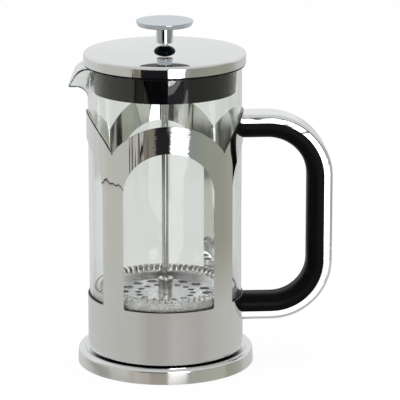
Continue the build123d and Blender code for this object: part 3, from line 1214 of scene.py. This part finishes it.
@dataclass
class Plunger:
    """The knob, the rod and the filter.

    Attributes:
        turns: the curls of the edge coil.
        wire_radius: the coil's wire radius, in metres.
        points_per_turn: the points that a curl follows.
        end_trim: the share of a curl that is left off each end.
        screen_wall: the thickness of the woven screen, in metres.
        screen_round: the radius of the screen's turned edge, in metres.
        screen_steps: the steps of the screen's full turn.
        sharp_angle: edges of the screen that turn more than this, in degrees, stay sharp.
    """

    frame: dict[str, Any]
    turns: int = 64
    wire_radius: float = millimetres(0.6)
    points_per_turn: int = 16
    end_trim: float = 0.06
    screen_wall: float = millimetres(0.36)
    screen_round: float = millimetres(2.0)
    screen_steps: int = 128
    sharp_angle: float = 60.0

    def build(self) -> None:
        """Dress the nodes of the body and build the wire work."""
        plate = FILTER.make()
        dress(
            self.frame,
            {
                "plunger_knob": KNOB.make(),
                "plunger_rod": ROD.make(),
                "rod_hub": PLAIN.make(),
                "spiral_plate": plate,
                "cross_plate": plate,
                "clamp_nut": PLAIN.make(),
            },
        )
        self._edge_coil()
        self._woven_screen()

    def _edge_coil(self) -> None:
        """Wind the coil that lies round the filter's edge."""
        low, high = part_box("edge_coil")
        curl_radius = (high.z - low.z) / 2 - self.wire_radius
        ring_radius = high.x - self.wire_radius - curl_radius
        level = (high.z + low.z) / 2
        line = bpy.data.curves.new("edge_coil_line", "CURVE")
        line.dimensions = "3D"
        line.bevel_depth = self.wire_radius
        line.bevel_resolution = 2
        line.use_fill_caps = True
        steps = self.turns * self.points_per_turn
        spline = line.splines.new("POLY")
        spline.points.add(steps)
        for index, point in enumerate(spline.points):
            turn = self.end_trim + index / steps * (self.turns - 2 * self.end_trim)
            curl = 2 * math.pi * turn
            around = curl / self.turns
            reach = ring_radius + curl_radius * math.cos(curl)
            height = level + curl_radius * math.sin(curl)
            point.co = (reach * math.cos(around), reach * math.sin(around), height, 1.0)
        wound = linked("edge_coil_line", line)
        data = evaluated(wound)
        bpy.data.objects.remove(wound)
        data.materials.clear()
        data.materials.append(SPRING.make())
        data.shade_smooth()
        seat(linked("wound_edge_coil", data), "plunger", "edge_coil")

    def _woven_screen(self) -> None:
        """Press the woven screen: a disc with a turned-up rim."""
        low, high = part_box("mesh_screen")
        radius = high.x - self.screen_wall / 2
        floor = low.z + self.screen_wall / 2
        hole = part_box("plunger_rod")[1].x
        bend = [
            (
                radius - self.screen_round * (1 - math.sin(math.radians(angle))),
                floor + self.screen_round * (1 - math.cos(math.radians(angle))),
            )
            for angle in range(0, 91, 15)
        ]
        profile = [(hole, floor), (radius / 2, floor), *bend, (radius, high.z)]
        woven = WovenWire(
            name="woven_steel",
            colour=(1.0, 1.0, 0.99),
            dull=(0.66, 0.655, 0.645),
            # painted shade under the plate
            shaded_tone=(0.28, 0.275, 0.26),
            shade_rise=millimetres(1.5),
            pitch=millimetres(0.62),
            wire=0.84,
            floor=floor,
            crease=millimetres(0.9),
            metallic=0.55,
            roughness=0.24,
            polish=0.06,
        )
        piece = settle(spun(profile, self.screen_steps), "woven_screen", woven.make(), self.sharp_angle)
        wall = piece.modifiers.new("wall", "SOLIDIFY")
        wall.thickness = self.screen_wall
        wall.offset = 0.0
        seat(piece, "plunger", "mesh_screen")


@dataclass(frozen=True)
class Card:
    """A flat studio card that only reflections see.

    Attributes:
        name: the card's name.
        left: its left edge, in metres.
        right: its right edge, in metres.
        bottom: its lower edge, in metres.
        top: its upper edge, in metres.
        tone: the light that it sends back.
        only_for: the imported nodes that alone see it, where it is not for all.
        not_for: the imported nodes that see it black.
    """

    name: str
    left: float
    right: float
    bottom: float
    top: float
    tone: Colour
    only_for: tuple[str, ...] = ()
    not_for: tuple[str, ...] = ()


@dataclass(frozen=True)
class Lamp:
    """A round soft lamp that aims at the object.

    Attributes:
        name: the lamp's name.
        place: where it hangs, in metres.
        size: its width, in metres.
        power: its power, in watts.
    """

    name: str
    place: Point
    size: float
    power: float


@dataclass
class Studio:
    """The white studio: floor, surroundings, lamps, reflection cards and camera.

    Attributes:
        camera_place: where the camera stands, in metres.
        camera_tilt: how far it looks down, in degrees.
        camera_turn: how far it is turned about Z, in degrees.
        camera_lens: its focal length, in millimetres.
        camera_sensor: the width of its sensor, in millimetres.
        aim_height: the height that the lamps aim at, in metres.
        card_distance: how far before the object the cards stand, in metres.
        linked_start: how far the cards for single nodes stand, as a share of that distance.
        linked_step: how much nearer each further one stands, as a share of that distance.
        ambient: the light that matt surfaces get from all sides.
        behind_glass: the paper behind the object, as it shows through the glass.
        floor_radius: the radius of the floor, in metres.
        floor_colour: the floor's colour.
        floor_glow: the share of the floor's look that is plain white and takes no shadow.
        ground_edge: the slopes between which walls turn into ground.
        rail_slope: the slope of the dark rail along the wall at the left.
        rail_edge: the slopes beside the rail's own between which it fades in.
        rail_side: the directions along X between which the rail fades in.
        rail_tone: the rail's colour.
        behind: the directions along Y between which the room's back fades in.
        back_rise: the slopes between which the paler upper back fades in.
        back_tone: the colour of the upper back.
        front_rise: the slopes between which the upper front fades in.
        front_tone: the colour of the upper front.
    """

    frame: dict[str, Any]
    camera_place: Point = (-0.0912, -1.6842, 0.5411)
    camera_tilt: float = 14.457
    camera_turn: float = -3.858
    camera_lens: float = 244.5
    camera_sensor: float = 36.0
    aim_height: float = millimetres(100.0)
    card_distance: float = 1.0
    linked_start: float = 0.98
    linked_step: float = 0.003
    ambient: float = 0.75
    behind_glass: Colour = (0.73, 0.755, 0.735)
    floor_radius: float = 6.0
    floor_colour: Colour = (0.95, 0.95, 0.95)
    floor_glow: float = 0.92
    ground_edge: Span = (-0.262, -0.292)
    rail_slope: float = -0.232
    rail_edge: Span = (0.012, 0.007)
    rail_side: Span = (-0.62, -0.72)
    rail_tone: Colour = (0.04, 0.04, 0.04)
    behind: Span = (0.0, 0.4)
    back_rise: Span = (-0.05, 0.08)
    back_tone: Colour = (0.84, 0.855, 0.86)
    front_rise: Span = (0.14, 0.32)
    front_tone: Colour = (0.66, 0.67, 0.67)

    def build(self) -> None:
        """Set the whole studio up."""
        scene = bpy.context.scene
        scene.view_settings.view_transform = "Standard"
        scene.cycles.max_bounces = 32
        scene.cycles.transmission_bounces = 32
        scene.cycles.glossy_bounces = 12
        scene.cycles.transparent_max_bounces = 24
        self._camera()
        self._surroundings()
        self._floor()
        self._lamps()
        for order, card in enumerate(self._cards()):
            self._hang(card, order)

    def _camera(self) -> None:
        """Stand the camera where the photograph was taken from."""
        data = bpy.data.cameras.new("camera")
        data.lens = self.camera_lens
        data.sensor_width = self.camera_sensor
        data.clip_end = 100.0
        camera = linked("camera", data)
        camera.location = self.camera_place
        camera.rotation_euler = (math.radians(90.0 - self.camera_tilt), 0.0, math.radians(self.camera_turn))
        bpy.context.scene.camera = camera

    def _surroundings(self) -> None:
        """Light the object from a pale room that is plain white to the camera."""
        world = bpy.data.worlds.new("pale_room")
        bpy.context.scene.world = world
        bench = NodeBench(world)
        x, y, z = bench.parts_of(bench.node("ShaderNodeTexCoord").output("Generated"))
        turn = x.math("ARCTAN2", y * -1.0) / (2 * math.pi) + 0.5
        walls = bench.node("ShaderNodeValToRGB", {"stops": self._wall_tones()}, {"Fac": turn})
        ground = bench.node("ShaderNodeValToRGB", {"stops": self._ground_tones()}, {"Fac": turn})
        room = bench.blend(z.between(*self.ground_edge), walls, ground)
        rail = (z - self.rail_slope).math("ABSOLUTE").between(*self.rail_edge) * x.between(*self.rail_side)
        room = bench.blend(rail, room, self.rail_tone)
        back = z.between(*self.back_rise) * y.between(*self.behind)
        room = bench.blend(back, room, self.back_tone)
        front = z.between(*self.front_rise) * (1 - y.between(*self.behind))
        room = bench.blend(front, room, self.front_tone)
        plain = bench.blend(bench.after("Transmission"), (1.0, 1.0, 1.0), self.behind_glass)
        seen = bench.blend(bench.after("Glossy"), plain, room)
        matt = bench.node("ShaderNodeLightPath").output("Is Diffuse Ray")
        strength = matt * (self.ambient - 1.0) + 1.0
        shell = bench.node("ShaderNodeBackground", sockets={"Color": seen, "Strength": strength})
        bench.node("ShaderNodeOutputWorld", sockets={"Surface": shell})

    @staticmethod
    def _ramp_stops(tones: tuple[tuple[float, Colour], ...]) -> list[tuple[float, Colour]]:
        """Ramp stops from tones by angle.

        Args:
            tones: each tone's angle from the front, rightwards, in degrees, and its colour.

        Returns:
            The stops by the share of a turn from behind.
        """
        return [(angle / 360 + 0.5, tone) for angle, tone in tones]

    def _wall_tones(self) -> list[tuple[float, Colour]]:
        """The room's walls as reflections see them."""
        return self._ramp_stops(
            (
                (-180, (0.72, 0.73, 0.73)),
                (-134, (0.69, 0.70, 0.69)),
                (-117, (0.66, 0.67, 0.64)),
                (-96, (0.575, 0.575, 0.525)),
                (-58, (0.56, 0.565, 0.51)),
                (-46, (0.46, 0.45, 0.40)),
                (-30, (0.39, 0.365, 0.315)),
                (0, (0.41, 0.39, 0.345)),
                (24, (0.42, 0.41, 0.37)),
                (36, (0.29, 0.31, 0.28)),
                (60, (0.33, 0.345, 0.28)),
                (95, (0.36, 0.36, 0.30)),
                (110, (0.42, 0.42, 0.36)),
                (122, (0.58, 0.59, 0.57)),
                (180, (0.68, 0.69, 0.69)),
            )
        )

    def _ground_tones(self) -> list[tuple[float, Colour]]:
        """The ground as reflections see it."""
        return self._ramp_stops(
            (
                (-180, (0.62, 0.63, 0.63)),
                (-130, (0.60, 0.61, 0.58)),
                (-76, (0.56, 0.56, 0.53)),
                (-46, (0.54, 0.54, 0.51)),
                (-28, (0.45, 0.44, 0.40)),
                (-6, (0.46, 0.45, 0.42)),
                (10, (0.54, 0.52, 0.50)),
                (28, (0.51, 0.50, 0.47)),
                (48, (0.48, 0.46, 0.44)),
                (68, (0.53, 0.52, 0.49)),
                (120, (0.59, 0.60, 0.57)),
                (180, (0.62, 0.63, 0.64)),
            )
        )

    def _floor(self) -> None:
        """Lay a plain pale floor that keeps a soft shadow and that reflections look through."""
        material, bench = blank("pale_floor")
        matt = bench.node("ShaderNodeBsdfDiffuse", sockets={"Color": opaque(self.floor_colour)})
        tone = bench.blend(bench.after("Transmission"), (1.0, 1.0, 1.0), self.behind_glass)
        glow = bench.node("ShaderNodeEmission", sockets={"Color": tone, "Strength": 1.0})
        path = bench.node("ShaderNodeLightPath")
        seen = path.output("Is Camera Ray").math("MAXIMUM", path.output("Is Transmission Ray"))
        lit = bench.node("ShaderNodeMixShader", sockets={0: seen * self.floor_glow, 1: matt, 2: glow})
        clear = bench.node("ShaderNodeBsdfTransparent")
        kept = bench.node("ShaderNodeMixShader", sockets={0: bench.after("Glossy"), 1: lit, 2: clear})
        bench.node("ShaderNodeOutputMaterial", sockets={"Surface": kept})
        mesh = bmesh.new()
        bmesh.ops.create_circle(mesh, cap_ends=True, radius=self.floor_radius, segments=64)
        floor = linked("floor", cast(mesh, "floor", material))
        floor.visible_glossy = False

    def _lamps(self) -> None:
        """Hang one large soft lamp above and a smaller one at the left."""
        lamps = (
            Lamp("top_lamp", place=(0.25, 0.15, 1.5), size=1.2, power=9.0),
            Lamp("left_lamp", place=(-1.1, -0.7, 0.9), size=0.8, power=6.0),
        )
        for lamp in lamps:
            data = bpy.data.lights.new(lamp.name, "AREA")
            data.shape = "DISK"
            data.size = lamp.size
            data.energy = lamp.power
            hung = linked(lamp.name, data)
            hung.location = lamp.place
            aim = Vector((0.0, 0.0, self.aim_height)) - Vector(lamp.place)
            hung.rotation_euler = aim.to_track_quat("-Z", "Y").to_euler()
            hung.visible_glossy = False

    @staticmethod
    def _cards() -> tuple[Card, ...]:
        """The cards before the object: the softbox's bands, flags, posts and fills."""
        return (
            Card("handle_glow", 0.08, 0.70, -0.45, -0.056, (0.80, 0.80, 0.82), only_for=("handle_shell",)),
            Card("handle_rim", 0.70, 6.0, -1.6, 0.6, (0.10, 0.12, 0.145), only_for=("handle_shell",)),
            Card("softbox", 0.03, 0.46, -0.013, 0.32, (9.0, 9.0, 9.0), not_for=("handle_shell",)),
            Card("softbox_edge", 0.03, 0.46, -0.022, -0.013, (1.7, 1.7, 1.7)),
            Card("softbox_gap", 0.03, 0.46, -0.05, -0.022, (0.20, 0.20, 0.21)),
            Card("softbox_middle", 0.09, 0.60, -0.13, -0.05, (1.7, 1.7, 1.7)),
            Card("softbox_foot", 0.0, 0.44, -0.20, -0.13, (1.5, 1.5, 1.5)),
            Card("dark_flag", -0.74, 0.02, -0.055, 0.30, (0.012, 0.012, 0.014)),
            Card("dark_post", -0.31, 0.08, -0.125, -0.055, (0.02, 0.02, 0.023)),
            Card("brown_flag", -1.05, -0.66, -0.15, -0.055, (0.22, 0.20, 0.16)),
            Card("inner_flag", -0.60, -0.31, -0.15, -0.055, (0.24, 0.22, 0.18)),
            Card("left_post", -1.15, -1.05, -0.26, -0.10, (0.03, 0.03, 0.03)),
            Card("thin_post", -0.66, -0.60, -0.17, -0.10, (0.05, 0.05, 0.05)),
            Card("base_fill", 0.55, 6.0, -1.6, 0.0, (0.115, 0.10, 0.09), only_for=("base_dish",)),
            Card("base_left_fill", -6.0, -0.4, -1.6, 0.0, (0.11, 0.10, 0.095), only_for=("base_dish",)),
            Card("warm_flag", -0.95, -0.74, -0.055, 0.30, (0.36, 0.33, 0.28)),
        )

    def _hang(self, card: Card, order: int) -> None:
        """Hang one card, which camera and matt surfaces look through.

        Args:
            card: the card to hang.
            order: its place in the row, which keeps the linked cards apart.
        """
        share = self.linked_start - self.linked_step * order if card.only_for else 1.0
        middle = ((card.left + card.right) / 2, -self.card_distance * share, (card.bottom + card.top) / 2)
        stand = Matrix.Translation(middle) @ Matrix.Rotation(math.pi / 2, 4, "X")
        shape = Matrix.Diagonal((card.right - card.left, card.top - card.bottom, 1.0, 1.0))
        mesh = bmesh.new()
        bmesh.ops.create_grid(mesh, x_segments=1, y_segments=1, size=0.5, matrix=stand @ shape)
        hung = linked(card.name, cast(mesh, card.name, self._card_material(card)))
        hung.visible_shadow = False
        hung.visible_diffuse = False
        if card.only_for or card.not_for:
            receivers = bpy.data.collections.new(card.name)
            for node in card.only_for + card.not_for:
                receivers.objects.link(self.frame["nodes"][node])
            for member in receivers.collection_objects:
                member.light_linking.link_state = "EXCLUDE" if card.not_for else "INCLUDE"
            hung.light_linking.receiver_collection = receivers

    @staticmethod
    def _card_material(card: Card) -> bpy.types.Material:
        """Make a card's finish. A card for single nodes adds its tone to what stands behind it.

        Args:
            card: the card to finish.

        Returns:
            The finished material.
        """
        material, bench = blank(card.name)
        clear = bench.node("ShaderNodeBsdfTransparent")
        glow = bench.node("ShaderNodeEmission", sockets={"Color": opaque(card.tone), "Strength": 1.0})
        if card.only_for:
            glow = bench.node("ShaderNodeAddShader", sockets={0: clear, 1: glow})
        mixed = bench.node("ShaderNodeMixShader", sockets={0: bench.after("Glossy"), 1: clear, 2: glow})
        bench.node("ShaderNodeOutputMaterial", sockets={"Surface": mixed})
        return material


def main() -> None:
    """Load the frame, dress it, build the new pieces and set up the studio."""
    logging.basicConfig(level=logging.INFO, format="%(name)s: %(message)s")
    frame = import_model()
    for assembly in (SleeveFrame(frame), Beaker(frame), Lid(frame), Plunger(frame), Studio(frame)):
        assembly.build()
    bpy.context.view_layer.update()


if __name__ == "__main__":
    main()
